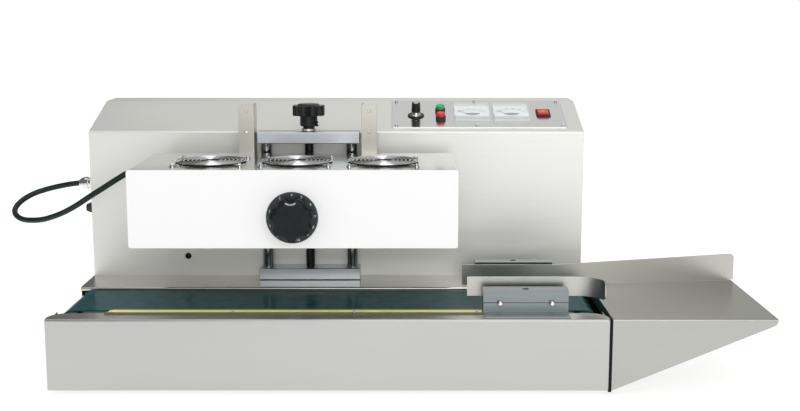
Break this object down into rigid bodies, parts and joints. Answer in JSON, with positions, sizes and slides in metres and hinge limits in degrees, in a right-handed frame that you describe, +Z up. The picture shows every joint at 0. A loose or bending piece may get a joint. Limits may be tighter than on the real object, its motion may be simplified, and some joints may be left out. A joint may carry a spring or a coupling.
{
  "type": "induction cap sealer",
  "caption": "Tabletop induction cap sealer: belt conveyor with infeed table and side guides, screw-lifted sealing head with cooling fans, and a sloped control cabinet.",
  "frame": {"origin": "on the floor under the middle of the machine's bounding box, the cable left out", "axes": "+X along the belt towards the infeed table, +Y from the front panel to the cabinet's rear, +Z up"},
  "size_m": [1.2545, 0.52, 0.4268],
  "materials": {
    "tray_steel": "brushed stainless sheet",
    "deck_steel": "polished stainless sheet",
    "cabinet_steel": "bright brushed stainless sheet",
    "panel_steel": "mirror-polished plate",
    "head_steel": "bright stainless sheet",
    "white_front": "white gloss paint",
    "guide_steel": "satin stainless",
    "hanger_steel": "satin stainless",
    "bed_steel": "dark painted steel",
    "roller_steel": "turned steel",
    "screw_steel": "oiled dark steel",
    "chrome": "polished chrome",
    "zinc_screw": "bright screw heads",
    "aluminium": "milled aluminium",
    "belt": "smooth dark green belt",
    "insulator": "epoxy glass strip",
    "coil_tray": "white insulating sheet",
    "copper": "copper conductor",
    "black_knob": "black moulded plastic",
    "black_plastic": "black plastic",
    "rubber": "black rubber",
    "cable": "dark green cable sheath",
    "meter_white": "white scale plate",
    "meter_clear": "clear acrylic",
    "needle": "black painted needle",
    "green_cap": "green plastic",
    "red_cap": "red plastic",
    "gearmotor": "painted casting",
    "inverter": "bare aluminium"
  },
  "bodies": {
    "machine": {"base_tray": "tray_steel", "rubber_feet": "rubber", "rear_deck": "deck_steel", "belt_bed": "bed_steel", "conveyor_belt": "belt", "bearing_blocks": "bed_steel", "gearmotor": "gearmotor", "insulating_strip": "insulator", "infeed_table": "tray_steel", "joint_gasket": "rubber", "cabinet_shell": "cabinet_steel", "rear_cover": "cabinet_steel", "control_panel": "panel_steel", "meter_bodies": "meter_white", "meter_covers": "meter_clear", "button_bezels": "black_plastic", "switch_frame": "black_plastic", "knob_ring": "black_knob", "speed_pot": "chrome", "cable_gland": "chrome", "mains_gland": "black_plastic", "wall_grommet": "rubber", "lift_bars": "aluminium", "guide_posts": "chrome", "clamp_bases": "aluminium", "clamp_caps": "aluminium", "machine_screws": "zinc_screw", "inverter_unit": "inverter", "head_cable": "cable"},
    "head": {"head_shell": "head_steel", "head_front": "white_front", "coil_cover": "coil_tray", "induction_coil": "copper", "carriage_block": "aluminium", "hanger_angles": "hanger_steel", "head_screws": "zinc_screw", "fan_frames": "black_plastic", "fan_guards": "chrome", "head_gland": "black_plastic", "dial_plate": "black_knob", "regulator": "black_plastic"},
    "lift_spindle": {"lift_screw": "screw_steel", "star_knob": "black_knob"},
    "drive_roller": {"drive_roller": "roller_steel"},
    "idler_roller": {"idler_roller": "roller_steel"},
    "fan_rotor_1": {"fan_rotor_1": "black_plastic"},
    "fan_rotor_2": {"fan_rotor_2": "black_plastic"},
    "fan_rotor_3": {"fan_rotor_3": "black_plastic"},
    "dial_knob": {"dial_knob": "black_knob"},
    "speed_knob": {"speed_knob": "black_knob"},
    "green_button": {"green_button": "green_cap"},
    "red_button": {"red_button": "red_cap"},
    "rocker": {"rocker": "red_cap"},
    "needle_left": {"needle_left": "needle"},
    "needle_right": {"needle_right": "needle"},
    "front_guide": {"front_guide_plate": "guide_steel", "front_guide_rods": "chrome"},
    "rear_guide": {"rear_guide_plate": "guide_steel", "rear_guide_rods": "chrome"}
  },
  "joints": [
    {"name": "head_lift", "type": "slide", "parent": "machine", "child": "head", "axis": [0, 0, 1], "range_m": [-0.05, 0.05], "deforming": ["head_cable"]},
    {"name": "lift_screw_turn", "type": "hinge", "parent": "machine", "child": "lift_spindle", "pos_m": [-0.16, 0.027, 0.3], "axis": [0, 0, 1], "continuous": true},
    {"name": "drive_roller_turn", "type": "hinge", "parent": "machine", "child": "drive_roller", "pos_m": [-0.519, -0.119, 0.092], "axis": [0, 1, 0], "continuous": true},
    {"name": "idler_roller_turn", "type": "hinge", "parent": "machine", "child": "idler_roller", "pos_m": [0.287, -0.119, 0.092], "axis": [0, 1, 0], "continuous": true},
    {"name": "fan_1_spin", "type": "hinge", "parent": "head", "child": "fan_rotor_1", "pos_m": [-0.306, -0.1225, 0.32], "axis": [0, 0, 1], "continuous": true},
    {"name": "fan_2_spin", "type": "hinge", "parent": "head", "child": "fan_rotor_2", "pos_m": [-0.168, -0.1225, 0.32], "axis": [0, 0, 1], "continuous": true},
    {"name": "fan_3_spin", "type": "hinge", "parent": "head", "child": "fan_rotor_3", "pos_m": [-0.03, -0.1225, 0.32], "axis": [0, 0, 1], "continuous": true},
    {"name": "dial_turn", "type": "hinge", "parent": "head", "child": "dial_knob", "pos_m": [-0.169, -0.216, 0.27], "axis": [0, -1, 0], "range_deg": [-150, 150]},
    {"name": "speed_turn", "type": "hinge", "parent": "machine", "child": "speed_knob", "pos_m": [0.025, 0.11124, 0.39775], "axis": [0, -0.2955, 0.9553], "range_deg": [-150, 150]},
    {"name": "green_press", "type": "slide", "parent": "machine", "child": "green_button", "axis": [0, 0.2955, -0.9553], "range_m": [0, 0.003], "stiffness_N_per_m": 500, "springref_m": -0.002},
    {"name": "red_press", "type": "slide", "parent": "machine", "child": "red_button", "axis": [0, 0.2955, -0.9553], "range_m": [0, 0.003], "stiffness_N_per_m": 500, "springref_m": -0.002},
    {"name": "rocker_tilt", "type": "hinge", "parent": "machine", "child": "rocker", "pos_m": [0.253, 0.12049, 0.40166], "axis": [1, 0, 0], "range_deg": [0, 20]},
    {"name": "needle_left_swing", "type": "hinge", "parent": "machine", "child": "needle_left", "pos_m": [0.125, 0.10271, 0.39825], "axis": [0, 0.2955, -0.9553], "range_deg": [0, 90], "stiffness_Nm_per_rad": 0.00005, "springref_deg": -20.05},
    {"name": "needle_right_swing", "type": "hinge", "parent": "machine", "child": "needle_right", "pos_m": [0.195, 0.10271, 0.39825], "axis": [0, 0.2955, -0.9553], "range_deg": [0, 90], "stiffness_Nm_per_rad": 0.00005, "springref_deg": -20.05},
    {"name": "front_guide_slide", "type": "slide", "parent": "machine", "child": "front_guide", "axis": [0, 1, 0], "range_m": [-0.01, 0.015]},
    {"name": "rear_guide_slide", "type": "slide", "parent": "machine", "child": "rear_guide", "axis": [0, 1, 0], "range_m": [-0.012, 0.01]}
  ],
  "couplings": [
    {"joint": "lift_screw_turn", "follows": "head_lift", "rad_per_m": -1570.8},
    {"joint": "idler_roller_turn", "follows": "drive_roller_turn", "ratio": 1}
  ]
}
